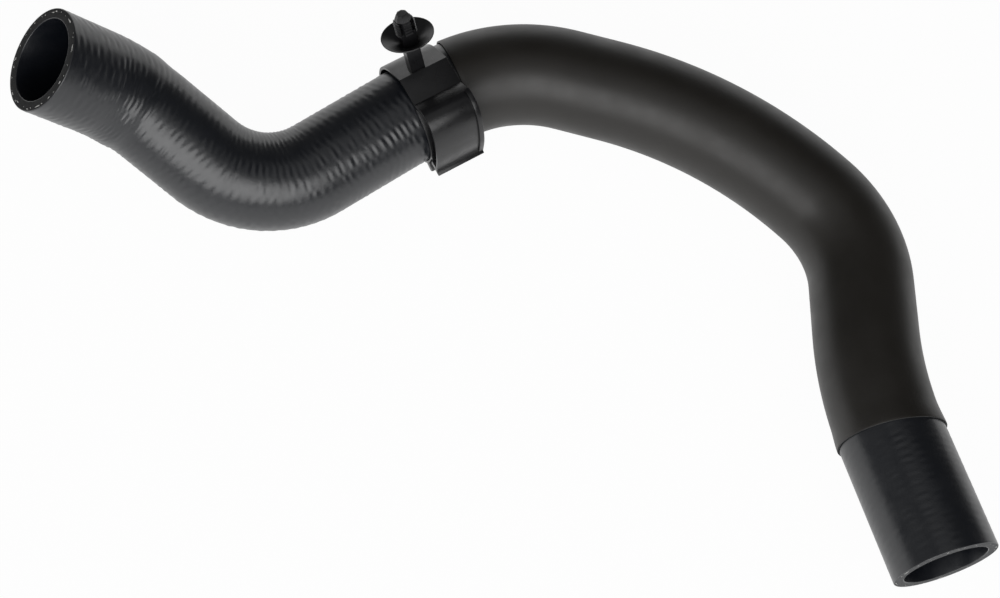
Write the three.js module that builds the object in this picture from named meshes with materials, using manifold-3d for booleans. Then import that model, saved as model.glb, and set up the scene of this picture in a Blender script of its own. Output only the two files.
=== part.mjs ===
// Moulded radiator hose with a protective sleeve and a latched retaining clip.
// Millimetres, +Z up. The hose lies on the floor as it comes to rest, long axis along X.

import * as THREE from 'three';
import { mergeVertices } from 'three/addons/utils/BufferGeometryUtils.js';
import Module from 'manifold-3d';

const wasm = await Module();
wasm.setup();

// Hose tube
const BODY_BORE = 30.5;
const CUFF_BORE = 32;
const WALL = 4;
const INLET_CUFF_LENGTH = 38;
const OUTLET_CUFF_LENGTH = 52;
const FLARE_LENGTH = 8;

// Course of the hose: corner points and the radius of the bend at each inner corner
const CORNERS = [
  [-168, 65, 72.5],
  [-141.5, 66.5, 46],
  [-91, 36, 17],
  [2.5, 99.5, 22.5],
  [92.5, 75.5, 24.5],
  [145.5, 29, 18],
  [144, -38, 25],
  [165, -107, 29.5],
];
const BEND_RADII = [49, 39, 63, 195, 46, 142];

// Protective sleeve, pulled over the hose from the clip to the outlet cuff. Both ends are cut askew.
const SLEEVE_WALL = 0.7;
const SLEEVE_LAP = 1;
const SLEEVE_START_SKEW = 7.5;
const SLEEVE_END_SKEW = 6.5;
const FIT_GAP = 0.3;

// Retaining clip. It is straight, and leans a little on the hose about the direction below.
const CLIP_STATION = 174.8;
const CLIP_WIDTH = 21;
const CLIP_LEAN = 3;
const LEAN_ABOUT = [-0.06, -0.39, 0.92];
const STUD_AIM = [-0.3, 0.46, 0.84];
const BAND_THICKNESS = 1.2;
const TONGUE_THICKNESS = 1.1;

// Angles round the clip are degrees from the stud towards the latch, heights are above the band
const PAD_END = 24;
const FLAT_END = [53, 1.1];
const LATCH_COURSE = [
  [61.5, 6.9],
  [65.5, 8.2],
  [70.5, 9],
  [77, 9.1],
  [85, 8.3],
  [94, 6.9],
  [104, 5.7],
  [117, 4.9],
  [132, 4.8],
];
const LIP_HEIGHT = 2.8;
const LIP_SPAN = 4;
const CATCH_SPAN = 7;
const CATCH_GAP = 0.5;
const TONGUE_START = 58;
const TONGUE_TOOTH = 0.9;
const TOOTH_RAMP = 7;
const TAB_START = 149.5;
const TAB_END = 157.5;
const TAB_HEIGHT = 3.6;
const TAB_CORNER = 1.5;
const RIB_HEIGHT = 0.8;
const RIB_WIDTH = 2;

// Panel stud: heights are along it, from the pad
const STUD_ACROSS = 6.8;
const STUD_ALONG = -1.7;
const STUD_LEAN = 9;
const STUD_LENGTH = 28.2;
const STEM_WIDTH = 6;
const STEM_DEPTH = 4;
const SEAL_DIAMETER = 21;
const SEAL_TOP = 17;
const SEAL_DEPTH = 5;
const SEAL_THICKNESS = 0.9;
const SEAL_LAND = 0.9;
const HEAD_WIDTH = 8.8;
const HEAD_DEPTH = 6;
const HEAD_START = 17.8;
const TIP_LENGTH = 3.6;
const TIP_BASE = 7;
const TIP_WIDTH = 4;
const TOOTH_PITCH = 0.85;
const TOOTH_DEPTH = 0.4;
const WING_SLOT = 0.7;

// Facets
const SIDES = 28;
const RING_ANGLE = 6;
const RING_SPACING = 0.8;
const FLARE_RINGS = 4;
const ARC_STEP = 9;

const radians = THREE.MathUtils.degToRad;

// A route of straight stretches and round bends. frameAt gives the place on the centreline and
// two directions across it, carried along without twist.
class BendRoute {
  constructor(corners, radii) {
    const points = corners.map((corner) => new THREE.Vector3(...corner));
    this.pieces = [];
    this.length = 0;
    const heading = points[1].clone().sub(points[0]).normalize();
    const across = new THREE.Vector3(0, 1, 0).cross(heading).normalize();
    this.frame = new THREE.Matrix4().makeBasis(across, heading.clone().cross(across), heading);
    this.frame.setPosition(points[0]);
    for (let i = 1; i < points.length - 1; i += 1) {
      const before = points[i].clone().sub(points[i - 1]).normalize();
      const after = points[i + 1].clone().sub(points[i]).normalize();
      const turn = before.angleTo(after);
      const radius = radii[i - 1];
      const start = points[i].clone().addScaledVector(before, -radius * Math.tan(turn / 2));
      this.addStraight(start);
      this.addBend(before.clone().cross(after).normalize(), radius, turn);
    }
    this.addStraight(points.at(-1));
  }

  addPiece(length, rings, advance) {
    this.pieces.push({ start: this.length, length, rings, advance });
    this.length += length;
    this.frame = advance(length);
  }

  addStraight(end) {
    const from = this.frame;
    const start = new THREE.Vector3().setFromMatrixPosition(from);
    const heading = new THREE.Vector3().setFromMatrixColumn(from, 2);
    this.addPiece(end.distanceTo(start), 1, (distance) => {
      const moved = start.clone().addScaledVector(heading, distance);
      return from.clone().setPosition(moved);
    });
  }

  addBend(axis, radius, turn) {
    const from = this.frame;
    const heading = new THREE.Vector3().setFromMatrixColumn(from, 2);
    const centre = new THREE.Vector3().setFromMatrixPosition(from);
    centre.addScaledVector(axis.clone().cross(heading), radius);
    const rings = Math.ceil(turn / radians(RING_ANGLE));
    this.addPiece(radius * turn, rings, (distance) => {
      const swing = new THREE.Matrix4().makeRotationAxis(axis, distance / radius);
      const toCentre = new THREE.Matrix4().makeTranslation(centre.clone().negate());
      const back = new THREE.Matrix4().makeTranslation(centre);
      return back.multiply(swing).multiply(toCentre).multiply(from);
    });
  }

  frameAt(station) {
    const inside = this.pieces.find((piece) => station <= piece.start + piece.length);
    const piece = inside ?? this.pieces.at(-1);
    return piece.advance(station - piece.start);
  }

  // Stations of the rings between two ends. The extra ones asked for come first.
  stations(from, to, extra = []) {
    const kept = [from, to, ...extra];
    for (const piece of this.pieces) {
      for (let i = 0; i <= piece.rings; i += 1) {
        const station = piece.start + (piece.length * i) / piece.rings;
        const inside = station > from && station < to;
        const spaced = kept.every((other) => Math.abs(other - station) > RING_SPACING);
        if (inside && spaced) kept.push(station);
      }
    }
    return kept.sort((a, b) => a - b);
  }
}

// Turns a geometry made straight along Z into its bent form
function bendAlong(route, geometry) {
  const straight = geometry.attributes.position;
  const point = new THREE.Vector3();
  for (let i = 0; i < straight.count; i += 1) {
    point.fromBufferAttribute(straight, i);
    const frame = route.frameAt(point.z);
    point.setZ(0).applyMatrix4(frame);
    straight.setXYZ(i, point.x, point.y, point.z);
  }
  return geometry;
}

function closedSolid(geometry) {
  geometry.deleteAttribute('normal');
  geometry.deleteAttribute('uv');
  return mergeVertices(geometry, 1e-4);
}

// A tube wall between two radii that may change along the length, turned and then bent
function bentTube(route, stations, innerRadius, outerRadius) {
  const outer = stations.map((s) => new THREE.Vector2(outerRadius(s), s));
  const inner = stations.map((s) => new THREE.Vector2(innerRadius(s), s)).reverse();
  const wall = new THREE.LatheGeometry([...outer, ...inner, outer[0]], SIDES);
  return closedSolid(bendAlong(route, wall.rotateX(Math.PI / 2)));
}

const route = new BendRoute(CORNERS, BEND_RADII);
const outletCuffStart = route.length - OUTLET_CUFF_LENGTH;

// How much wider than the body the hose is at a station, 0 to 1
function flare(station) {
  const inlet = THREE.MathUtils.smoothstep(station, INLET_CUFF_LENGTH, INLET_CUFF_LENGTH + FLARE_LENGTH);
  const outlet = THREE.MathUtils.smoothstep(station, outletCuffStart - FLARE_LENGTH, outletCuffStart);
  return 1 - inlet + outlet;
}

const boreRadius = (s) => THREE.MathUtils.lerp(BODY_BORE, CUFF_BORE, flare(s)) / 2;
const hoseRadius = (s) => boreRadius(s) + WALL;
const flareStations = [INLET_CUFF_LENGTH, outletCuffStart - FLARE_LENGTH].flatMap((start) =>
  Array.from({ length: FLARE_RINGS + 1 }, (_, i) => start + (i * FLARE_LENGTH) / FLARE_RINGS));

function makeHose() {
  const stations = route.stations(0, route.length, flareStations);
  return bentTube(route, stations, boreRadius, hoseRadius);
}

// Joins and cuts closed meshes
function solid(geometry) {
  const merged = closedSolid(geometry);
  return new wasm.Manifold(new wasm.Mesh({
    numProp: 3,
    vertProperties: merged.attributes.position.array,
    triVerts: Uint32Array.from(merged.index.array),
  }));
}

function geometryOf(body) {
  const mesh = body.getMesh();
  const geometry = new THREE.BufferGeometry();
  geometry.setAttribute('position', new THREE.BufferAttribute(mesh.vertProperties, 3));
  geometry.setIndex(new THREE.BufferAttribute(mesh.triVerts, 1));
  return geometry;
}

// The clip is straight and the hose bends inside it, so it sits between the two and leans
function clipSeat() {
  const point = (station) => new THREE.Vector3().setFromMatrixPosition(route.frameAt(station));
  const near = point(CLIP_STATION - CLIP_WIDTH / 2);
  const far = point(CLIP_STATION + CLIP_WIDTH / 2);
  const onHose = point(CLIP_STATION);
  const onChord = near.clone().add(far).divideScalar(2);
  const leanAbout = new THREE.Vector3(...LEAN_ABOUT).normalize();
  const along = far.sub(near).normalize().applyAxisAngle(leanAbout, -radians(CLIP_LEAN));
  const aim = new THREE.Vector3(...STUD_AIM);
  const out = aim.addScaledVector(along, -aim.dot(along)).normalize();
  const frame = new THREE.Matrix4().makeBasis(out.clone().cross(along), out, along);
  frame.setPosition(onHose.clone().add(onChord).divideScalar(2));
  return { frame, sag: onHose.distanceTo(onChord) };
}

const seat = clipSeat();

// Cuts away all that is past the XY plane of a place, seen along its Z
function trimmed(body, place, size) {
  const block = new THREE.BoxGeometry(size, size, size);
  block.translate(0, 0, size / 2).applyMatrix4(place);
  return body.subtract(solid(block));
}

// The sleeve comes up to the clip on the latch side and leaves the hose bare on the other
function makeSleeve() {
  const end = outletCuffStart + SLEEVE_LAP;
  const inner = (s) => hoseRadius(s) + FIT_GAP;
  const outer = (s) => inner(s) + SLEEVE_WALL;
  const size = 4 * outer(end);
  const spare = outer(end) * Math.tan(radians(SLEEVE_END_SKEW)) + FIT_GAP;
  const between = flareStations.filter((station) => station > CLIP_STATION && station < end + spare);
  const stations = route.stations(CLIP_STATION, end + spare, between);
  const whole = solid(bentTube(route, stations, inner, outer));

  const reach = outer(CLIP_STATION) * Math.tan(radians(SLEEVE_START_SKEW));
  const start = new THREE.Matrix4().makeTranslation(0, 0, CLIP_WIDTH / 2 + FIT_GAP + reach);
  start.multiply(new THREE.Matrix4().makeRotationY(Math.PI - radians(SLEEVE_START_SKEW)));
  start.premultiply(seat.frame);

  const finish = route.frameAt(end);
  const middle = new THREE.Vector3().setFromMatrixPosition(finish);
  finish.premultiply(new THREE.Matrix4().makeRotationZ(-radians(SLEEVE_END_SKEW)));
  finish.setPosition(middle);
  return geometryOf(trimmed(trimmed(whole, start, size), finish, size));
}

// Clip frame: Z along the hose, Y out through the pad
const bodyRadius = BODY_BORE / 2 + WALL;
const leanRoom = (CLIP_WIDTH / 2) * Math.tan(radians(CLIP_LEAN));
const bandInner = bodyRadius + FIT_GAP + seat.sag / 2 + leanRoom;
const bandOuter = bandInner + BAND_THICKNESS;
const tongueOuter = bandInner + TONGUE_THICKNESS;
const [panelEnd, panelEndHeight] = LATCH_COURSE.at(-1);

const polar = (angle, radius) =>
  new THREE.Vector2(-radius * Math.sin(radians(angle)), radius * Math.cos(radians(angle)));

function arc(from, to, radius) {
  const count = Math.max(1, Math.round(Math.abs(to - from) / ARC_STEP));
  return Array.from({ length: count + 1 }, (_, i) =>
    polar(THREE.MathUtils.lerp(from, to, i / count), radius));
}

// A line of points moved sideways by a distance, to the left of its direction
function shifted(line, distance) {
  return line.map((point, i) => {
    const before = line[Math.max(i - 1, 0)];
    const after = line[Math.min(i + 1, line.length - 1)];
    const into = (i === 0 ? after.clone().sub(point) : point.clone().sub(before)).normalize();
    const outOf = (i === line.length - 1 ? into.clone() : after.clone().sub(point)).normalize();
    const sideways = new THREE.Vector2(-into.y - outOf.y, into.x + outOf.x);
    return point.clone().addScaledVector(sideways, distance / (1 + into.dot(outOf)));
  });
}

// Outside of the clip from the pad's middle over the near flat, then out and down the latch
const padCorner = bandOuter / Math.cos(radians(PAD_END));
const latchFace = LATCH_COURSE.map(([angle, height]) => polar(angle, bandOuter + height));
const plateFace = [
  polar(0, bandOuter),
  polar(PAD_END, padCorner),
  polar(FLAT_END[0], bandOuter + FLAT_END[1]),
  ...latchFace,
];

function extruded(outline, depth, from) {
  const body = new THREE.ExtrudeGeometry(new THREE.Shape(outline), { depth, bevelEnabled: false });
  body.translate(0, 0, from);
  return solid(body);
}

function makeClipBand() {
  const toothAt = panelEnd - CATCH_SPAN;
  const lipFoot = bandOuter + panelEndHeight;
  const outline = [
    // tongue, from its free end under the latch to its tooth
    ...arc(TONGUE_START, toothAt - TOOTH_RAMP, tongueOuter),
    polar(toothAt, tongueOuter + TONGUE_TOOTH),
    polar(toothAt, tongueOuter),
    // finger tab that opens the latch
    polar(TAB_START, tongueOuter),
    polar(TAB_START, bandOuter + TAB_HEIGHT - TAB_CORNER),
    polar(TAB_START + TAB_CORNER, bandOuter + TAB_HEIGHT),
    polar(TAB_END - TAB_CORNER, bandOuter + TAB_HEIGHT),
    polar(TAB_END, bandOuter + TAB_HEIGHT - TAB_CORNER),
    ...arc(TAB_END, 360, bandOuter),
    ...plateFace.slice(1),
    // lip outside, catch inside
    polar(panelEnd, lipFoot + LIP_HEIGHT),
    polar(panelEnd + LIP_SPAN / 2, lipFoot + LIP_HEIGHT),
    polar(panelEnd + LIP_SPAN, lipFoot),
    polar(panelEnd + LIP_SPAN, tongueOuter + CATCH_GAP),
    polar(panelEnd + LIP_SPAN - CATCH_SPAN, tongueOuter + CATCH_GAP),
    ...shifted(plateFace, BAND_THICKNESS).slice(1, -1).reverse(),
    ...arc(0, TONGUE_START - 360, bandInner),
  ];
  return extruded(outline, CLIP_WIDTH, -CLIP_WIDTH / 2);
}

// Raised border down the sleeve side of the latch
function makeLatchRib() {
  const outline = [...shifted(latchFace, -RIB_HEIGHT), ...shifted(latchFace, BAND_THICKNESS / 2).reverse()];
  return extruded(outline, RIB_WIDTH, CLIP_WIDTH / 2 - RIB_WIDTH);
}

// Stud pieces stand along Y, their heights from the pad
function turned(profile, sides) {
  return new THREE.LatheGeometry(profile.map(([radius, height]) => new THREE.Vector2(radius, height)), sides);
}

function makeStem() {
  const foot = -BAND_THICKNESS / 2;
  const top = (HEAD_START + STUD_LENGTH - TIP_LENGTH) / 2;
  const stem = new THREE.BoxGeometry(STEM_DEPTH, top - foot, STEM_WIDTH);
  stem.translate(0, (top + foot) / 2, 0);
  return solid(stem);
}

// Springy sealing skirt that presses on the panel round the fixing hole
function makeSeal() {
  const rim = SEAL_DIAMETER / 2;
  const apex = SEAL_TOP - SEAL_DEPTH;
  const hub = STEM_DEPTH / 2;
  const waist = (hub + rim) / 2;
  const sag = SEAL_DEPTH / 10;
  const waistTop = (apex + SEAL_TOP) / 2 - sag;
  return solid(turned([
    [0, apex - SEAL_THICKNESS],
    [hub, apex - SEAL_THICKNESS],
    [waist, waistTop - SEAL_THICKNESS],
    [rim, SEAL_TOP - SEAL_THICKNESS],
    [rim, SEAL_TOP],
    [rim - SEAL_LAND, SEAL_TOP],
    [waist, waistTop],
    [hub, apex],
    [0, apex],
  ], SIDES));
}

// Toothed arrowhead with a springy wing on each side of its core
function makeHead() {
  const shoulder = STUD_LENGTH - TIP_LENGTH;
  const teeth = Math.floor((shoulder - HEAD_START) / TOOTH_PITCH);
  const widest = HEAD_WIDTH / 2;
  const profile = [[0, HEAD_START]];
  for (let i = 0; i < teeth; i += 1) {
    const height = HEAD_START + i * TOOTH_PITCH;
    profile.push([widest, height]);
    profile.push([widest - TOOTH_DEPTH, height + TOOTH_PITCH]);
  }
  profile.push([widest - TOOTH_DEPTH, shoulder]);
  profile.push([TIP_BASE / 2, shoulder]);
  profile.push([TIP_WIDTH / 2, STUD_LENGTH]);
  profile.push([0, STUD_LENGTH]);
  const cone = turned(profile, 8);
  cone.rotateY(Math.PI / 8);
  const slab = new THREE.BoxGeometry(HEAD_DEPTH, STUD_LENGTH * 2, HEAD_WIDTH * 2);
  const slotHeight = shoulder - HEAD_START;
  const slotPlace = (STEM_WIDTH + WING_SLOT) / 2 - TOOTH_DEPTH;
  let head = solid(cone).intersect(solid(slab));
  for (const side of [-1, 1]) {
    const slot = new THREE.BoxGeometry(HEAD_DEPTH * 2, slotHeight, WING_SLOT);
    slot.translate(0, HEAD_START + slotHeight / 2 - TOOTH_PITCH, side * slotPlace);
    head = head.subtract(solid(slot));
  }
  return head;
}

function makeClip() {
  const place = new THREE.Matrix4().makeTranslation(-STUD_ACROSS, bandOuter, STUD_ALONG);
  place.multiply(new THREE.Matrix4().makeRotationZ(radians(STUD_LEAN)));
  const stud = makeStem().add(makeSeal()).add(makeHead());
  return geometryOf(makeClipBand().add(makeLatchRib()).add(stud.transform(place.elements)));
}

// Assembly
const hose = new THREE.Mesh(
  makeHose(),
  new THREE.MeshStandardMaterial({ color: '#1d1f24', roughness: 0.5, metalness: 0 }),
);
hose.name = 'hose';

const sleeve = new THREE.Mesh(
  makeSleeve(),
  new THREE.MeshStandardMaterial({ color: '#2b2824', roughness: 0.65, metalness: 0 }),
);
sleeve.name = 'protective_sleeve';

const clip = new THREE.Mesh(
  makeClip(),
  new THREE.MeshStandardMaterial({ color: '#17181b', roughness: 0.35, metalness: 0 }),
);
clip.name = 'retaining_clip';
clip.applyMatrix4(seat.frame);

const group = new THREE.Group();
group.add(hose, sleeve, clip);
group.updateMatrixWorld(true);
const box = new THREE.Box3().setFromObject(group, true);
const middle = box.getCenter(new THREE.Vector3());
group.position.set(-middle.x, -middle.y, -box.min.z);

export default group;
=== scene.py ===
# Studio picture of a moulded radiator hose with its protective sleeve and retaining clip.
# Its own sizes below are in millimetres and its angles in degrees. A mesh is made in metres.
import math

import bmesh
import bpy
import numpy as np
from mathutils import Matrix, Vector, noise


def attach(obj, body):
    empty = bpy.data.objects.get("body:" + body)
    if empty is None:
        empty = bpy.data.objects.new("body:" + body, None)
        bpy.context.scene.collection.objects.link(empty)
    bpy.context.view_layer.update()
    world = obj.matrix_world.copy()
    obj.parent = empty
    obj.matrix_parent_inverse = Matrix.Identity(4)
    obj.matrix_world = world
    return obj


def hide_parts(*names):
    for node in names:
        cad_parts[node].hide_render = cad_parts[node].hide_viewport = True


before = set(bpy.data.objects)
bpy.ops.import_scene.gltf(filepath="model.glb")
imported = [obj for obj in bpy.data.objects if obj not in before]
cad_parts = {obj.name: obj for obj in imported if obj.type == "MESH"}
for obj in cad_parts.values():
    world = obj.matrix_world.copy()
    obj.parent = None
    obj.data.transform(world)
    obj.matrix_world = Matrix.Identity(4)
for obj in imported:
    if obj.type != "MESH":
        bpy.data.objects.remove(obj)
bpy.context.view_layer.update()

MM = 0.001
scene = bpy.context.scene

# Course of the hose, and sizes of hose and sleeve
CORNERS = [
    (-168, 65, 72.5),
    (-141.5, 66.5, 46),
    (-91, 36, 17),
    (2.5, 99.5, 22.5),
    (92.5, 75.5, 24.5),
    (145.5, 29, 18),
    (144, -38, 25),
    (165, -107, 29.5),
]
BEND_RADII = (49, 39, 63, 195, 46, 142)
BODY_BORE = 30.5
CUFF_BORE = 32
WALL = 4
INLET_CUFF_LENGTH = 38
OUTLET_CUFF_LENGTH = 52
FLARE_LENGTH = 8
SLEEVE_WALL = 0.7
SLEEVE_LIP = 0.3
SLEEVE_LAP = 1
SLEEVE_START_SKEW = 7.5
SLEEVE_END_SKEW = 6.5
SLEEVE_END_SWELL = 0.5
SWELL_LENGTH = 10
SKEW_FADE = 25
FIT_GAP = 0.3
SLEEVE_CLEARANCE = 0.05
CUT_EDGE = 0.3
EDGE_ANGLES = (0, 30, 60, 90)

# Fineness of the meshes: points round the hose, and steps along it
SIDES = 160
KNIT_STEP = 0.5
CLIP_STEP = 2
HIDDEN_STEP = 6
BORE_STEP = 8
SLEEVE_STEP = 2.2
SLEEVE_END_STEP = 0.8
SLEEVE_END_LENGTH = 12
SLEEVE_INSIDE_STEP = 3
SLEEVE_RIM_BANDS = 3
ARC_STEP = 2

# Knit of the reinforcement that shows through the bare rubber
KNIT_PITCH = 2.9
KNIT_TURNS = 9
KNIT_DEPTH = 0.1
KNIT_SHARES = (0.54, 0.46)
CUFF_KNIT = 0.35
KNIT_FADE = 1.5
KNIT_CLIP_FADE = (-1, 2)
KNIT_UNDER_CLIP = 3
KNIT_UNDER_SLEEVE = 4

# Unevenness of the knit. Its noise is read on a cylinder, so that it closes round the hose.
NOISE_RADIUS = 3
DRIFT = 1.8
COUNTER_DRIFT = 0.8
DRIFT_SPREAD = (2, 12)
STRENGTH = 0.66
STRENGTH_SWING = 1.7
STRENGTH_LIMITS = (0.08, 1.3)
PATCH_SCALE = 1.5
PATCH_LENGTH = 3.1
PATCH_START = 20

# Cut ends of the yarn in the two end faces
YARN_COUNTS = (36, 22)
YARN_RING = 0.68
YARN_SEED = (1.7, 3.1)
YARN_SCATTER = 1.2
YARN_WANDER = 0.7
YARN_LENGTH = 0.16
YARN_LONGER = 1.7
YARN_WIDTH = 0.14
YARN_WIDER = 0.1
YARN_HEIGHT = 0.08
GRAIN_SHARES = (-1, -0.8, -0.4, 0, 0.4, 0.8, 1)
GRAIN_BLUNTNESS = 0.02
GRAIN_SIDES = 8

# Retaining clip
CLIP_STATION = 174.8
CLIP_WIDTH = 21
CLIP_LEAN = 3
LEAN_ABOUT = (-0.06, -0.39, 0.92)
STUD_AIM = (-0.3, 0.46, 0.84)
BAND_THICKNESS = 1.2
TONGUE_THICKNESS = 1.1
PAD_END = 24
FLAT_END = (53, 1.1)

# Angle round the hose and height above the band, along the latch shelf and panel
LATCH_COURSE = [
    (61.5, 6.9),
    (65.5, 8.2),
    (70.5, 9),
    (77, 9.1),
    (85, 8.3),
    (94, 6.9),
    (104, 5.7),
    (117, 4.9),
    (134.5, 4.8),
]

# Lip at the panel's end: angle past the panel and share of the lip's height
LIP_HEIGHT = 1.8
LIP_SPAN = 4
LIP_COURSE = [
    (0.9, 0.2),
    (1.7, 0.5),
    (2.4, 0.9),
    (2.9, 1),
    (3.5, 0.9),
    (LIP_SPAN, 0.4),
]

# Catch, tongue, thumb tab and rims of the clip
CATCH_SPAN = 7
CATCH_GAP = 0.5
TONGUE_START = 58
TONGUE_TOOTH = 0.9
TOOTH_RAMP = 7
TAB_START = 149.5
TAB_END = 157.5
TAB_HEIGHT = 3.6
TAB_CORNER = 1.5
TAB_ROUNDNESS = 0.8
STEP_ANGLE = 0.4
BAND_END = 359
RIB_HEIGHT = 0.8
RIB_WIDTH = 2
RIM_EDGE = 0.22
MITRE_LIMIT = 0.6
CLIP_SHARP = 28

# Stud with its stem, sealing skirt, toothed head and tip
STUD_ACROSS = 6.8
STUD_ALONG = -1.7
STUD_LEAN = 9
STUD_LENGTH = 27.3
STEM_WIDTH = 6
STEM_DEPTH = 4
STEM_EDGE = 0.3
STEM_INTO_HEAD = 1
SEAL_DIAMETER = 21
SEAL_TOP = 17
SEAL_RIM_SLOPE = 25
SEAL_SAG = 1.2
SEAL_THICKNESS = 0.9
SEAL_THINNING = 0.4
SEAL_RIM_WIDTH = 0.25
SEAL_STEPS = 20
SEAL_SIDES = 96
HEAD_WIDTH = 8.8
HEAD_DEPTH = 6
HEAD_START = 17.8
HEAD_OVERLAP = 0.1
HEAD_SIDES = 8
TIP_LENGTH = 2.7
TIP_BASE = 7
TIP_WIDTH = 4.6
TIP_EDGE = 0.25
TOOTH_PITCH = 1.3
TOOTH_DEPTH = 0.6
WING_SLOT = 0.7
AXIS_RADIUS = 0.01

# One tooth: share of the pitch and share of the depth
TOOTH_COURSE = [
    (0, 1),
    (0.15, 0),
    (0.4, 0),
    (0.8, 1),
]

# Moves the part so that its box stands centred on the origin, in metres
CENTRING = (-0.0009896, -0.0007449, 0.0010855)

# Studio, in metres
FLOOR_RINGS = (0.05, 0.6, 1.5, 4, 9)
FLOOR_SIDES = 48
FLOOR_HEIGHT = -0.0001
LAMP_AIM = (0, 0, 0.03)
FLOOR_SHADE = 0.86
WORLD_STRENGTH = 0.06


def add_camera():
    data = bpy.data.cameras.new("camera")
    data.sensor_width = 36
    data.lens = 63.46
    data.clip_start = 0.01
    camera = bpy.data.objects.new("camera", data)
    camera.location = (-0.03758, -0.26446, 0.64509)
    camera.rotation_euler = [math.radians(angle) for angle in (22.61, -3.72, 0.09)]
    scene.collection.objects.link(camera)
    scene.camera = camera


add_camera()


def unit(vector):
    vector = np.asarray(vector, float)
    return vector / np.linalg.norm(vector)


def turn_about(axis, angle):
    return np.array(Matrix.Rotation(angle, 3, Vector(axis)))


class BendRoute:
    """Straights joined by round bends.

    A frame is a basis of three columns, two across the hose and one along it, and a place.
    """

    def __init__(self, corners, radii):
        points = [np.array(corner, float) for corner in corners]
        heading = unit(points[1] - points[0])
        across = unit(np.cross((0, 1, 0), heading))
        self.pieces = []
        self.length = 0.0
        self.end = (np.column_stack([across, np.cross(heading, across), heading]), points[0])
        for before, corner, after, radius in zip(points, points[1:], points[2:], radii):
            arriving = unit(corner - before)
            leaving = unit(after - corner)
            turn = math.acos(arriving @ leaving)
            start = corner - arriving * radius * math.tan(turn / 2)
            self.add(np.linalg.norm(start - self.end[1]))
            self.add(radius * turn, unit(np.cross(arriving, leaving)), radius)
        self.add(np.linalg.norm(points[-1] - self.end[1]))

    def add(self, length, axis=None, radius=None):
        self.pieces.append((self.length, length, self.end, axis, radius))
        self.length += length
        self.end = self.frame_at(self.length)

    def frame_at(self, station):
        for start, length, (basis, place), axis, radius in self.pieces:
            if station <= start + length:
                break
        distance = station - start
        if axis is None:
            return basis, place + basis[:, 2] * distance
        centre = place + np.cross(axis, basis[:, 2]) * radius
        swing = turn_about(axis, distance / radius)
        return swing @ basis, centre + swing @ (place - centre)


def smoothstep(value, low, high):
    share = np.clip((value - low) / (high - low), 0, 1)
    return share * share * (3 - 2 * share)


route = BendRoute(CORNERS, BEND_RADII)
outlet_cuff = route.length - OUTLET_CUFF_LENGTH


def bore_radius(station):
    inlet = smoothstep(station, INLET_CUFF_LENGTH, INLET_CUFF_LENGTH + FLARE_LENGTH)
    outlet = smoothstep(station, outlet_cuff - FLARE_LENGTH, outlet_cuff)
    return (BODY_BORE + (CUFF_BORE - BODY_BORE) * (1 - inlet + outlet)) / 2


def hose_radius(station):
    return bore_radius(station) + WALL


def spread(start, end, step):
    """Even steps of about one size from one number to another."""
    return np.linspace(start, end, max(2, int(round(abs(end - start) / step)) + 1))


def chance(*place):
    """Smooth noise between about -1 and 1."""
    return noise.noise(Vector(place))


def knit(station, angles):
    """Heights of leaning rows of short ridges, uneven as real yarn is."""
    drift_across, drift_along = DRIFT_SPREAD
    weakest, strongest = STRENGTH_LIMITS
    lean_share, counter_share = KNIT_SHARES
    patch_place = station / PATCH_LENGTH + PATCH_START
    heights = []
    for angle in angles:
        across = NOISE_RADIUS * math.cos(angle)
        up = NOISE_RADIUS * math.sin(angle)
        drift = DRIFT * chance(across / drift_across, up / drift_across, station / drift_along)
        along = 2 * math.pi * station / KNIT_PITCH + drift
        lean = math.cos(along - KNIT_TURNS * angle)
        counter = math.cos(along + KNIT_TURNS * angle + COUNTER_DRIFT * drift)
        patch = chance(across * PATCH_SCALE, up * PATCH_SCALE, patch_place)
        strength = min(strongest, max(weakest, STRENGTH + STRENGTH_SWING * patch))
        heights.append((lean_share * lean + counter_share * counter) * strength)
    return np.array(heights)


def swept(rows, relief=None, shift_along=None):
    """Points of closed rings round the route. A row is a station and a radius."""
    angles = np.linspace(0, 2 * math.pi, SIDES, endpoint=False)
    rings = []
    for station, radius in rows:
        basis, place = route.frame_at(station)
        reach = np.full(SIDES, float(radius))
        if relief:
            reach = reach + relief(station, radius, angles)
        ring = place + np.outer(reach * np.cos(angles), basis[:, 0])
        ring = ring + np.outer(reach * np.sin(angles), basis[:, 1])
        if shift_along:
            ring = ring + np.outer(shift_along(station, ring, basis[:, 2]), basis[:, 2])
        rings.append(ring)
    return np.vstack(rings)


def ring_faces(count, sides, closed=True):
    """Quads between neighbouring rings, and between the last and the first where closed."""
    faces = []
    for i in range(count if closed else count - 1):
        a = i * sides
        b = (i + 1) % count * sides
        for j in range(sides):
            k = (j + 1) % sides
            faces.append((a + j, a + k, b + k, b + j))
    return faces


def capped_faces(count, sides):
    """Quads between rings, with the first and the last ring each filled by one face."""
    faces = ring_faces(count, sides, closed=False)
    faces.append(tuple(range(sides)))
    faces.append(tuple(range((count - 1) * sides, count * sides)))
    return faces


def make_piece(name, points, faces, material, sharp=35):
    mesh = bpy.data.meshes.new(name)
    mesh.from_pydata((np.asarray(points) * MM).tolist(), [], faces)
    work = bmesh.new()
    work.from_mesh(mesh)
    bmesh.ops.recalc_face_normals(work, faces=work.faces)
    work.to_mesh(mesh)
    work.free()
    mesh.shade_smooth()
    mesh.set_sharp_from_angle(angle=math.radians(sharp))
    mesh.materials.append(material)
    piece = bpy.data.objects.new(name, mesh)
    scene.collection.objects.link(piece)
    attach(piece, "root")
    return piece


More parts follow.
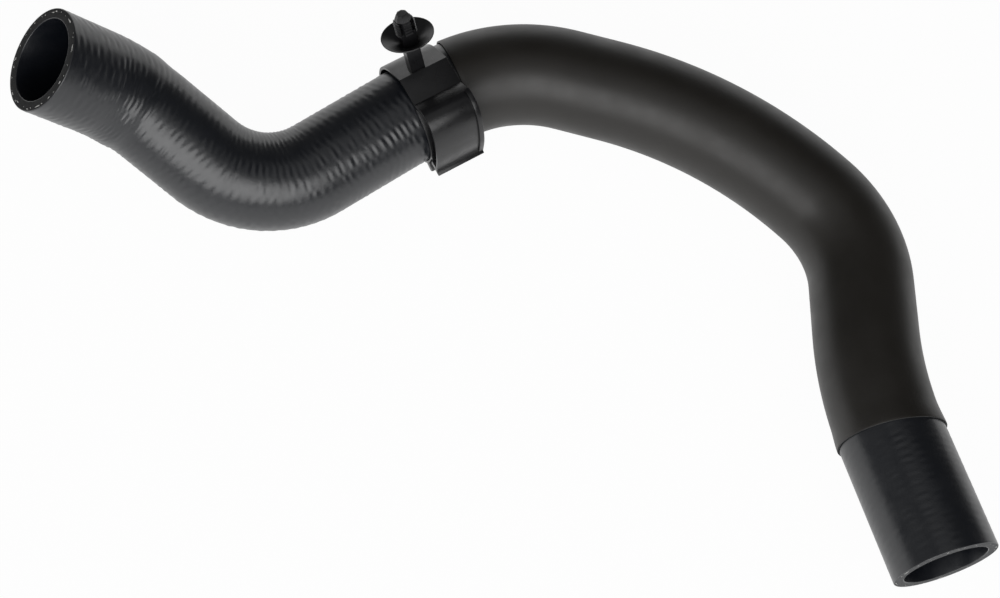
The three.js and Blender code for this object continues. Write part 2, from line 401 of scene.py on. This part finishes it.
# Materials
class Shader:
    """A material being put together from nodes."""

    def __init__(self, name, roughness, specular=0.5, sheen=0.0):
        self.material = bpy.data.materials.new(name)
        self.material.use_nodes = True
        self.nodes = self.material.node_tree.nodes
        self.links = self.material.node_tree.links
        self.surface = self.nodes["Principled BSDF"]
        self.surface.inputs["Roughness"].default_value = roughness
        self.surface.inputs["Specular IOR Level"].default_value = specular
        self.surface.inputs["Sheen Weight"].default_value = sheen
        self.place = self.nodes.new("ShaderNodeTexCoord").outputs["Object"]

    def noise(self, size, detail=3):
        """Noise whose spots are about so many millimetres wide."""
        node = self.nodes.new("ShaderNodeTexNoise")
        node.inputs["Scale"].default_value = 1 / (size * MM)
        node.inputs["Detail"].default_value = detail
        node.inputs["Roughness"].default_value = 0.55
        self.links.new(self.place, node.inputs["Vector"])
        return node.outputs["Fac"]

    def ramp(self, value, low, high, from_colour, to_colour):
        node = self.nodes.new("ShaderNodeValToRGB")
        node.color_ramp.elements[0].position = low
        node.color_ramp.elements[0].color = (*from_colour, 1)
        node.color_ramp.elements[1].position = high
        node.color_ramp.elements[1].color = (*to_colour, 1)
        self.links.new(value, node.inputs["Fac"])
        return node.outputs["Color"]

    def scaled(self, value, low, high, to_low, to_high):
        node = self.nodes.new("ShaderNodeMapRange")
        limits = ("From Min", "From Max", "To Min", "To Max")
        for name, number in zip(limits, (low, high, to_low, to_high)):
            node.inputs[name].default_value = number
        self.links.new(value, node.inputs["Value"])
        return node.outputs["Result"]

    def mixed(self, factor, a, b):
        node = self.nodes.new("ShaderNodeMix")
        node.data_type = "RGBA"
        self.links.new(factor, node.inputs["Factor"])
        self.links.new(a, node.inputs["A"])
        self.links.new(b, node.inputs["B"])
        return node.outputs["Result"]

    def colour(self, value):
        self.links.new(value, self.surface.inputs["Base Color"])

    def roughness(self, value):
        self.links.new(value, self.surface.inputs["Roughness"])

    def bump(self, *heights):
        """Relief from pairs of a value and a depth in millimetres."""
        normal = None
        for value, depth in heights:
            node = self.nodes.new("ShaderNodeBump")
            node.inputs["Distance"].default_value = depth * MM
            self.links.new(value, node.inputs["Height"])
            if normal:
                self.links.new(normal, node.inputs["Normal"])
            normal = node.outputs["Normal"]
        self.links.new(normal, self.surface.inputs["Normal"])


def hose_rubber():
    shader = Shader("hose_rubber", roughness=0.34, specular=0.9)
    broad = shader.noise(22)
    grain = shader.noise(0.7, detail=4)
    dark = shader.ramp(broad, 0.35, 0.7, (0.0030, 0.0042, 0.0070), (0.0044, 0.0058, 0.0090))
    dust = shader.ramp(grain, 0.45, 0.75, (0.0036, 0.0048, 0.0074), (0.013, 0.015, 0.020))
    shader.colour(shader.mixed(shader.scaled(grain, 0.55, 0.8, 0.0, 0.5), dark, dust))
    shader.roughness(shader.scaled(shader.noise(5), 0.3, 0.7, 0.30, 0.38))
    shader.bump((shader.noise(3.5), 0.05), (grain, 0.02))
    return shader.material


def cut_rubber(name, shade):
    """Sawn rubber, dull and a little uneven, around one shade of grey; the inlet's face gets a darker
    grey as painted shade.
    """
    shader = Shader(name, roughness=0.8, specular=0.3)
    grain = shader.noise(0.5, detail=5)
    scuff = shader.noise(4)
    low = (0.6 * shade, 0.61 * shade, 0.63 * shade)
    high = (1.35 * shade, 1.37 * shade, 1.4 * shade)
    grey = shader.ramp(grain, 0.3, 0.75, low, high)
    worn = shader.ramp(scuff, 0.3, 0.8, low, high)
    shader.colour(shader.mixed(shader.scaled(scuff, 0.35, 0.7, 0.2, 0.8), grey, worn))
    shader.bump((grain, 0.05))
    return shader.material


def sleeve_rubber():
    shader = Shader("sleeve_rubber", roughness=0.46, specular=0.62)
    broad = shader.noise(30)
    grain = shader.noise(0.45, detail=4)
    dark = shader.ramp(broad, 0.3, 0.7, (0.0086, 0.0070, 0.0050), (0.0116, 0.0098, 0.0074))
    fleck = shader.ramp(grain, 0.4, 0.8, (0.0090, 0.0075, 0.0056), (0.020, 0.0175, 0.0145))
    shader.colour(shader.mixed(shader.scaled(grain, 0.6, 0.85, 0.0, 0.6), dark, fleck))
    shader.roughness(shader.scaled(shader.noise(9), 0.3, 0.7, 0.42, 0.50))
    shader.bump((shader.noise(14, detail=2), 0.08), (grain, 0.012))
    return shader.material


def clip_plastic():
    shader = Shader("clip_plastic", roughness=0.32)
    grain = shader.noise(0.35)
    broad = shader.noise(6)
    shader.colour(shader.ramp(broad, 0.35, 0.7, (0.0060, 0.0060, 0.0068), (0.0088, 0.0088, 0.0098)))
    shader.roughness(shader.scaled(shader.noise(2.5), 0.3, 0.7, 0.27, 0.37))
    shader.bump((shader.noise(4, detail=2), 0.02), (grain, 0.006))
    return shader.material


def yarn_fibre():
    shader = Shader("yarn_fibre", roughness=0.6, sheen=0.3)
    fibre = shader.noise(0.9)
    shader.colour(shader.ramp(fibre, 0.3, 0.7, (0.28, 0.28, 0.27), (0.80, 0.79, 0.76)))
    shader.bump((shader.noise(0.15), 0.04))
    return shader.material


rubber = hose_rubber()
# The inlet's cut face is painted shade: the same sawn rubber as the outlet's, given a darker grey.
inlet_cut_painted_shade = cut_rubber("inlet_cut_rubber_painted_shade", 0.022)
outlet_cut = cut_rubber("outlet_cut_rubber", 0.08)
sleeve_cut = cut_rubber("sleeve_cut_rubber", 0.04)
sleeve_finish = sleeve_rubber()
plastic = clip_plastic()
yarn = yarn_fibre()


def rounded_end(station, outward, radius, inner):
    """Profile of a cut end from the outside to the bore, with slightly rounded edges."""
    rows = []
    for side, start in ((1, radius), (-1, inner)):
        for angle in EDGE_ANGLES[::side]:
            turned = math.radians(angle)
            back = CUT_EDGE * (1 - math.sin(turned))
            drop = CUT_EDGE * (1 - math.cos(turned))
            rows.append((station - outward * back, start - side * drop))
    return rows


clip_start = CLIP_STATION - CLIP_WIDTH / 2
sleeve_end = outlet_cuff + SLEEVE_LAP
clear_of_sleeve = sleeve_end - KNIT_UNDER_SLEEVE


def hose_rows():
    """Rows of the whole surface, and the places of the two rows that a cut face starts from."""
    first = rounded_end(0, -1, hose_radius(0), bore_radius(0))
    last = rounded_end(route.length, 1, hose_radius(route.length), bore_radius(route.length))
    bare_end = route.length - CUT_EDGE
    knit_end = clip_start + KNIT_UNDER_CLIP
    covered = clip_start + CLIP_WIDTH
    stations = np.concatenate([
        spread(CUT_EDGE, knit_end, KNIT_STEP),
        spread(knit_end, covered, CLIP_STEP)[1:],
        spread(covered, clear_of_sleeve, HIDDEN_STEP)[1:],
        spread(clear_of_sleeve, bare_end, KNIT_STEP)[1:],
    ])
    outside = [(s, hose_radius(s)) for s in stations[1:-1]]
    bore = [(s, bore_radius(s)) for s in spread(CUT_EDGE, bare_end, BORE_STEP)[1:-1]]
    before_face = len(EDGE_ANGLES) - 1
    faces = (before_face, len(first) + len(outside) + before_face)
    return first[::-1] + outside + last + bore[::-1], faces


def knit_relief(station, radius, angles):
    """Relief of the two bare stretches. Bore and cut faces are smaller in radius and stay plain."""
    fade_start, fade_end = KNIT_CLIP_FADE
    before_clip = 1 - smoothstep(station, clip_start + fade_start, clip_start + fade_end)
    inlet = smoothstep(station, CUT_EDGE, KNIT_FADE) * before_clip
    past_sleeve = smoothstep(station, clear_of_sleeve, sleeve_end)
    before_end = 1 - smoothstep(station, route.length - KNIT_FADE, route.length - CUT_EDGE)
    shown = inlet + CUFF_KNIT * (past_sleeve * before_end)
    if radius < hose_radius(station) or shown == 0:
        return 0 * angles
    return KNIT_DEPTH * shown * knit(station, angles)


# Hose
rows, cut_rows = hose_rows()
hose = make_piece(
    "hose_surface",
    swept(rows, knit_relief),
    ring_faces(len(rows), SIDES),
    rubber,
)
for index, (row, cut_face) in enumerate(zip(cut_rows, (inlet_cut_painted_shade, outlet_cut)), 1):
    hose.data.materials.append(cut_face)
    for polygon in hose.data.polygons[row * SIDES:(row + 1) * SIDES]:
        polygon.material_index = index
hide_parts("hose")


def clip_seat():
    """Basis, middle and sag of the clip, which is straight and leans a little on the hose."""
    near = route.frame_at(clip_start)[1]
    far = route.frame_at(clip_start + CLIP_WIDTH)[1]
    on_hose = route.frame_at(CLIP_STATION)[1]
    on_chord = (near + far) / 2
    along = turn_about(unit(LEAN_ABOUT), -math.radians(CLIP_LEAN)) @ unit(far - near)
    out = unit(np.array(STUD_AIM) - along * (along @ np.array(STUD_AIM)))
    basis = np.column_stack([np.cross(out, along), out, along])
    return basis, (on_hose + on_chord) / 2, np.linalg.norm(on_hose - on_chord)


seat_basis, seat_centre, seat_sag = clip_seat()

# Protective sleeve, its two ends cut askew
start_skew = math.radians(SLEEVE_START_SKEW)
sleeve_radius = BODY_BORE / 2 + WALL + FIT_GAP + SLEEVE_WALL
sleeve_room = CLIP_WIDTH / 2 + FIT_GAP + sleeve_radius * math.tan(start_skew)
sleeve_start = CLIP_STATION + sleeve_room
start_place = seat_centre + seat_basis[:, 2] * sleeve_room
start_normal = seat_basis @ (-math.sin(start_skew), 0, math.cos(start_skew))
end_basis, end_place = route.frame_at(sleeve_end)
end_normal = turn_about((0, 0, 1), -math.radians(SLEEVE_END_SKEW)) @ end_basis[:, 2]


def sleeve_skew(station, ring, heading):
    """How far each point of a ring shifts along the hose so that both ends lie in their cuts."""
    to_start = (ring - start_place) @ start_normal / (heading @ start_normal) - (station - sleeve_start)
    to_end = (ring - end_place) @ end_normal / (heading @ end_normal) - (station - sleeve_end)
    near_start = 1 - smoothstep(station, sleeve_start, sleeve_start + SKEW_FADE)
    near_end = smoothstep(station, sleeve_end - SKEW_FADE, sleeve_end)
    return -to_start * near_start - to_end * near_end


def sleeve_outer(station):
    return sleeve_radius + SLEEVE_END_SWELL * smoothstep(station, sleeve_end - SWELL_LENGTH, sleeve_end)


def sleeve_inner(station):
    return max(sleeve_radius - SLEEVE_WALL, hose_radius(station) + SLEEVE_CLEARANCE)


def sleeve_rows():
    """Rows of the whole surface, and the place of the row that the rim starts from."""
    lip = SLEEVE_WALL * SLEEVE_LIP
    first = sleeve_start + lip
    fine = sleeve_end - SLEEVE_END_LENGTH
    last = sleeve_end - lip
    stations = np.concatenate([
        spread(first, fine, SLEEVE_STEP),
        spread(fine, last, SLEEVE_END_STEP)[1:],
    ])
    outside = [(s, sleeve_outer(s)) for s in stations]
    inside = [(s, sleeve_inner(s)) for s in spread(first, last, SLEEVE_INSIDE_STEP)]
    ends = []
    for end, outward in ((sleeve_end, 1), (sleeve_start, -1)):
        # Rounded rim, from the outside to the inside
        soft = end - outward * lip * 0.3
        rim = [
            (soft, sleeve_outer(end) - lip * 0.25),
            (end, sleeve_outer(end) - lip),
            (end, sleeve_inner(end) + lip * 0.6),
            (soft, sleeve_inner(end) + lip * 0.15),
        ]
        ends.append(rim[::outward])
    return outside + ends[0] + inside[::-1] + ends[1], len(outside)


rows, rim_row = sleeve_rows()
sleeve = make_piece(
    "sleeve_surface",
    swept(rows, shift_along=sleeve_skew),
    ring_faces(len(rows), SIDES),
    sleeve_finish,
)
sleeve.data.materials.append(sleeve_cut)
for polygon in sleeve.data.polygons[rim_row * SIDES:(rim_row + SLEEVE_RIM_BANDS) * SIDES]:
    polygon.material_index = 1
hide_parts("protective_sleeve")

shift = Matrix.Translation(CENTRING)
hose.data.transform(shift)
sleeve.data.transform(shift)

# Retaining clip
lean_room = CLIP_WIDTH / 2 * math.tan(math.radians(CLIP_LEAN))
band_inner = BODY_BORE / 2 + WALL + FIT_GAP + seat_sag / 2 + lean_room
band_outer = band_inner + BAND_THICKNESS
tongue_outer = band_inner + TONGUE_THICKNESS
panel_end, panel_end_height = LATCH_COURSE[-1]


def polar(angle, radius):
    turned = math.radians(angle)
    return (-radius * math.sin(turned), radius * math.cos(turned))


def arc(start, end, radius):
    return [polar(angle, radius) for angle in spread(start, end, ARC_STEP)]


def smooth_line(points, steps=5):
    """A smooth line through a few points."""
    points = np.array(points)
    padded = np.vstack([2 * points[0] - points[1], points, 2 * points[-1] - points[-2]])
    line = []
    for a, b, c, d in zip(padded, padded[1:], padded[2:], padded[3:]):
        slope = c - a
        square = 2 * a - 5 * b + 4 * c - d
        cube = 3 * b - a - 3 * c + d
        for t in np.arange(steps) / steps:
            line.append((2 * b + slope * t + square * t ** 2 + cube * t ** 3) / 2)
    line.append(points[-1])
    return np.array(line)


def shifted(line, distance):
    """A line of points moved sideways by a distance, to the left of its direction."""
    steps = np.diff(line, axis=0)
    steps /= np.linalg.norm(steps, axis=1)[:, None]
    into = np.vstack([steps[:1], steps])
    out_of = np.vstack([steps, steps[-1:]])
    sideways = np.column_stack([-into[:, 1] - out_of[:, 1], into[:, 0] + out_of[:, 0]])
    return line + sideways * distance / (1 + np.sum(into * out_of, axis=1))[:, None]


latch_face = smooth_line([polar(angle, band_outer + height) for angle, height in LATCH_COURSE])
plate_face = np.vstack([
    polar(0, band_outer),
    polar(PAD_END, band_outer / math.cos(math.radians(PAD_END))),
    polar(FLAT_END[0], band_outer + FLAT_END[1]),
    latch_face,
])


def extruded(outline, low, high, edge=RIM_EDGE):
    """A closed outline drawn out along the hose, with rounded rims."""
    flat = np.array([tuple(point) for point in outline])
    before = np.roll(flat, 1, axis=0)
    after = np.roll(flat, -1, axis=0)
    area = np.sum(flat[:, 0] * after[:, 1] - after[:, 0] * flat[:, 1])
    into = (flat - before) / np.linalg.norm(flat - before, axis=1)[:, None]
    out_of = (after - flat) / np.linalg.norm(after - flat, axis=1)[:, None]
    outward = np.column_stack([into[:, 1] + out_of[:, 1], -into[:, 0] - out_of[:, 0]])
    outward *= np.sign(area)
    outward /= np.maximum(1 + np.sum(into * out_of, axis=1), MITRE_LIMIT)[:, None]
    rings = []
    for end, side in ((low, 1), (high, -1)):
        for turn in EDGE_ANGLES[::-side]:
            inset = edge * (1 - math.cos(math.radians(turn)))
            height = end + side * edge * (1 - math.sin(math.radians(turn)))
            rings.append(np.column_stack([flat - outward * inset, np.full(len(flat), height)]))
    return np.vstack(rings), capped_faces(len(rings), len(flat))


def band_outline():
    """Tongue, tooth, thumb tab, band, pad, latch shelf and panel, lip and catch, in one closed line."""
    tooth_at = panel_end - CATCH_SPAN
    lip_foot = band_outer + panel_end_height
    tab_side = band_outer + TAB_HEIGHT - TAB_CORNER
    tab_round = tab_side + TAB_ROUNDNESS * TAB_CORNER
    return [
        *arc(TONGUE_START, tooth_at - TOOTH_RAMP, tongue_outer),
        polar(tooth_at, tongue_outer + TONGUE_TOOTH),
        polar(tooth_at + STEP_ANGLE, tongue_outer),
        polar(TAB_START - STEP_ANGLE, tongue_outer),
        polar(TAB_START, tab_side),
        polar(TAB_START + TAB_CORNER / 2, tab_round),
        polar(TAB_START + TAB_CORNER, band_outer + TAB_HEIGHT),
        polar(TAB_END - TAB_CORNER, band_outer + TAB_HEIGHT),
        polar(TAB_END - TAB_CORNER / 2, tab_round),
        polar(TAB_END, tab_side),
        *arc(TAB_END + STEP_ANGLE, BAND_END, band_outer),
        *plate_face[1:],
        *[polar(panel_end + turn, lip_foot + share * LIP_HEIGHT) for turn, share in LIP_COURSE],
        polar(panel_end + LIP_SPAN, tongue_outer + CATCH_GAP),
        polar(panel_end + LIP_SPAN - CATCH_SPAN, tongue_outer + CATCH_GAP),
        *shifted(plate_face, BAND_THICKNESS)[1:-1][::-1],
        *arc(0, TONGUE_START - 360, band_inner),
    ]


def rib_outline():
    """The raised rim along one side of the latch panel."""
    return [*shifted(latch_face, -RIB_HEIGHT), *shifted(latch_face, BAND_THICKNESS / 2)[::-1]]


def turned_shape(profile, sides):
    """A closed profile of radius and height turned round the stud's axis."""
    points = []
    for radius, height in profile:
        for j in range(sides):
            angle = 2 * math.pi * (j + 0.5) / sides
            points.append((radius * math.cos(angle), height, radius * math.sin(angle)))
    return np.array(points), ring_faces(len(profile), sides)


def stem_shape():
    deep = STEM_DEPTH / 2
    wide = STEM_WIDTH / 2
    outline = [(-deep, -wide), (deep, -wide), (deep, wide), (-deep, wide)]
    top = HEAD_START + STEM_INTO_HEAD
    points, faces = extruded(outline, -BAND_THICKNESS / 2, top, STEM_EDGE)
    return points[:, [0, 2, 1]], faces


def seal_shape():
    """The thin skirt, thickest at the stem and rounded at its rim."""
    rim = SEAL_DIAMETER / 2
    hub = STEM_DEPTH / 2
    slope = math.tan(math.radians(SEAL_RIM_SLOPE))
    upper = []
    lower = []
    for radius in np.linspace(hub, rim - SEAL_RIM_WIDTH, SEAL_STEPS):
        inward = rim - radius
        height = SEAL_TOP - slope * inward - SEAL_SAG * (inward / (rim - hub)) ** 2
        thickness = SEAL_THICKNESS * (1 - SEAL_THINNING * (radius - hub) / (rim - hub))
        upper.append((radius, height))
        lower.append((radius, height - thickness))
    edge = lower[-1][1]
    round_rim = [
        (rim - 0.06, SEAL_TOP - 0.1),
        (rim, SEAL_TOP - 0.22),
        (rim - 0.05, edge + 0.12),
    ]
    middle = [(AXIS_RADIUS, lower[0][1]), (AXIS_RADIUS, upper[0][1])]
    return turned_shape(upper + round_rim + lower[::-1] + middle, SEAL_SIDES)


def head_profile():
    """Radius and height along the toothed head, from its foot up."""
    shoulder = STUD_LENGTH - TIP_LENGTH
    widest = HEAD_WIDTH / 2
    profile = [(AXIS_RADIUS, HEAD_START)]
    for i in range(int((shoulder - HEAD_START) / TOOTH_PITCH)):
        height = HEAD_START + i * TOOTH_PITCH
        for share, depth in TOOTH_COURSE:
            profile.append((widest - depth * TOOTH_DEPTH, height + share * TOOTH_PITCH))
    profile.append((widest - TOOTH_DEPTH, shoulder - HEAD_OVERLAP))
    profile.append((AXIS_RADIUS, shoulder - HEAD_OVERLAP))
    return profile


def head_shapes():
    """The ridged core, a wing on each side of it and the plain tip."""
    slot = (STEM_WIDTH + WING_SLOT) / 2 - TOOTH_DEPTH
    half_slot = WING_SLOT / 2
    spans = [
        (-HEAD_WIDTH, -slot - half_slot),
        (-slot + half_slot, slot - half_slot),
        (slot + half_slot, HEAD_WIDTH),
    ]
    shapes = []
    for low, high in spans:
        points, faces = turned_shape(head_profile(), HEAD_SIDES)
        points[:, 0] *= HEAD_DEPTH / HEAD_WIDTH / math.cos(math.pi / HEAD_SIDES)
        points[:, 2] = np.clip(points[:, 2], low, high)
        shapes.append((points, faces))
    base = STUD_LENGTH - TIP_LENGTH - HEAD_OVERLAP
    tip = [
        (AXIS_RADIUS, base),
        (TIP_BASE / 2 - 0.15, base),
        (TIP_BASE / 2, base + 0.2),
        (TIP_WIDTH / 2, STUD_LENGTH - TIP_EDGE),
        (TIP_WIDTH / 2 - TIP_EDGE, STUD_LENGTH),
        (AXIS_RADIUS, STUD_LENGTH),
    ]
    shapes.append(turned_shape(tip, HEAD_SIDES))
    return shapes


def clip_parts():
    """Band and rib drawn out along the hose, and the stud standing on the pad."""
    half = CLIP_WIDTH / 2
    inside_rib = half - RIB_WIDTH
    parts = [
        extruded(band_outline(), -half, half),
        extruded(rib_outline(), inside_rib, half),
    ]
    lean = turn_about((0, 0, 1), math.radians(STUD_LEAN))
    foot = (-STUD_ACROSS, band_outer, STUD_ALONG)
    for points, faces in [stem_shape(), seal_shape(), *head_shapes()]:
        parts.append((points @ lean.T + foot, faces))
    return parts


def joined(parts):
    """Points and faces of several parts as one list each."""
    points = []
    faces = []
    start = 0
    for part_points, part_faces in parts:
        points.append(part_points)
        faces += [tuple(start + i for i in face) for face in part_faces]
        start += len(part_points)
    return np.vstack(points), faces


points, faces = joined(clip_parts())
seated = points @ seat_basis.T + seat_centre
clip = make_piece("clip_surface", seated, faces, plastic, CLIP_SHARP)
clip.data.transform(shift)
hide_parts("retaining_clip")


def grain_shape(middle, along, across, up, length, width):
    """A small rounded grain half sunk in the face."""
    points = []
    for share in GRAIN_SHARES:
        swell = math.sqrt(max(GRAIN_BLUNTNESS, 1 - share * share))
        for turn in range(GRAIN_SIDES):
            angle = 2 * math.pi * turn / GRAIN_SIDES
            sideways = across * math.cos(angle) * width * swell
            upward = up * math.sin(angle) * YARN_HEIGHT * swell
            points.append(middle + along * share * length + (sideways + upward))
    return np.array(points), capped_faces(len(GRAIN_SHARES), GRAIN_SIDES)


def yarn_ends():
    """Grains round both end faces, each face with its own number of them."""
    step, level = YARN_SEED
    parts = []
    for station, outward, count in zip((0, route.length), (-1, 1), YARN_COUNTS):
        basis, place = route.frame_at(station)
        normal = basis[:, 2] * outward
        ring = bore_radius(station) + WALL * YARN_RING
        for i in range(count):
            luck = noise.cell_vector(Vector((i * step + station, level, outward)))
            angle = 2 * math.pi * (i + YARN_SCATTER * luck[0]) / count
            length = YARN_LENGTH + YARN_LONGER * luck[1] ** 4
            width = YARN_WIDTH + YARN_WIDER * luck[1]
            radius = ring + YARN_WANDER * (luck[2] - 0.5)
            radial = basis[:, 0] * math.cos(angle) + basis[:, 1] * math.sin(angle)
            sideways = np.cross(normal, radial)
            middle = place + radial * radius
            parts.append(grain_shape(middle, sideways, radial, normal, length, width))
    return joined(parts)


# Cut ends of the reinforcing yarn in both end faces
points, faces = yarn_ends()
yarn_piece = make_piece("yarn_ends", points, faces, yarn)
yarn_piece.data.transform(shift)


# Floor and light
def studio_material(name, seen_plainly, mirrored):
    """White that the camera and mirrors see plainly, while the floor still takes a faint shadow."""
    material = bpy.data.materials.new(name)
    material.use_nodes = True
    nodes = material.node_tree.nodes
    links = material.node_tree.links
    surface = nodes["Principled BSDF"]
    surface.inputs["Base Color"].default_value = (FLOOR_SHADE, FLOOR_SHADE, FLOOR_SHADE, 1)
    surface.inputs["Roughness"].default_value = 0.9
    surface.inputs["Specular IOR Level"].default_value = 0.1
    glow = nodes.new("ShaderNodeEmission")
    path = nodes.new("ShaderNodeLightPath")
    shares = (
        ("Is Camera Ray", seen_plainly),
        ("Is Glossy Ray", mirrored),
        ("Is Transmission Ray", mirrored),
    )
    total = None
    for ray, share in shares:
        part = nodes.new("ShaderNodeMath")
        part.operation = "MULTIPLY_ADD"
        part.inputs[1].default_value = share
        part.inputs[2].default_value = 0
        links.new(path.outputs[ray], part.inputs[0])
        if total:
            links.new(total, part.inputs[2])
        total = part.outputs[0]
    mix = nodes.new("ShaderNodeMixShader")
    links.new(total, mix.inputs["Fac"])
    links.new(surface.outputs[0], mix.inputs[1])
    links.new(glow.outputs[0], mix.inputs[2])
    links.new(mix.outputs[0], nodes["Material Output"].inputs["Surface"])
    return material


def add_floor():
    points = [(0, 0, FLOOR_HEIGHT)]
    for radius in FLOOR_RINGS:
        for j in range(FLOOR_SIDES):
            angle = 2 * math.pi * j / FLOOR_SIDES
            points.append((radius * math.cos(angle), radius * math.sin(angle), FLOOR_HEIGHT))
    faces = [(0, 1 + j, 1 + (j + 1) % FLOOR_SIDES) for j in range(FLOOR_SIDES)]
    outer = ring_faces(len(FLOOR_RINGS), FLOOR_SIDES, closed=False)
    faces += [tuple(1 + i for i in face) for face in outer]
    mesh = bpy.data.meshes.new("floor")
    mesh.from_pydata(points, [], faces)
    mesh.materials.append(studio_material("floor_white", seen_plainly=0.97, mirrored=0.86))
    floor = bpy.data.objects.new("floor", mesh)
    scene.collection.objects.link(floor)


def add_softbox(name, azimuth, elevation, distance, width, height, strength):
    """A soft area lamp aimed at the middle of the part."""
    data = bpy.data.lights.new(name, "AREA")
    data.shape = "RECTANGLE"
    data.size = width
    data.size_y = height
    data.energy = strength * width * height * math.pi
    lamp = bpy.data.objects.new(name, data)
    around = math.radians(azimuth)
    up = math.radians(elevation)
    level = math.cos(up)
    direction = Vector((math.sin(around) * level, -math.cos(around) * level, math.sin(up)))
    lamp.location = direction * distance + Vector(LAMP_AIM)
    lamp.rotation_euler = direction.to_track_quat("Z", "Y").to_euler()
    scene.collection.objects.link(lamp)


add_floor()

# Each with its azimuth and elevation, distance, width and height, and strength
add_softbox("front_box", -3, 36, 1.6, 2.4, 1.35, 2.75)
add_softbox("top_box", 0, 86, 1.8, 1.5, 1.3, 0.3)
add_softbox("back_box", 178, 5, 1.5, 2.6, 0.26, 1.3)
add_softbox("left_box", -95, 35, 2.0, 1.6, 1.6, 0.15)

world = bpy.data.worlds.new("studio")
world.use_nodes = True
world.node_tree.nodes["Background"].inputs["Color"].default_value = (1, 1, 1, 1)
world.node_tree.nodes["Background"].inputs["Strength"].default_value = WORLD_STRENGTH
scene.world = world
scene.view_settings.view_transform = "Standard"
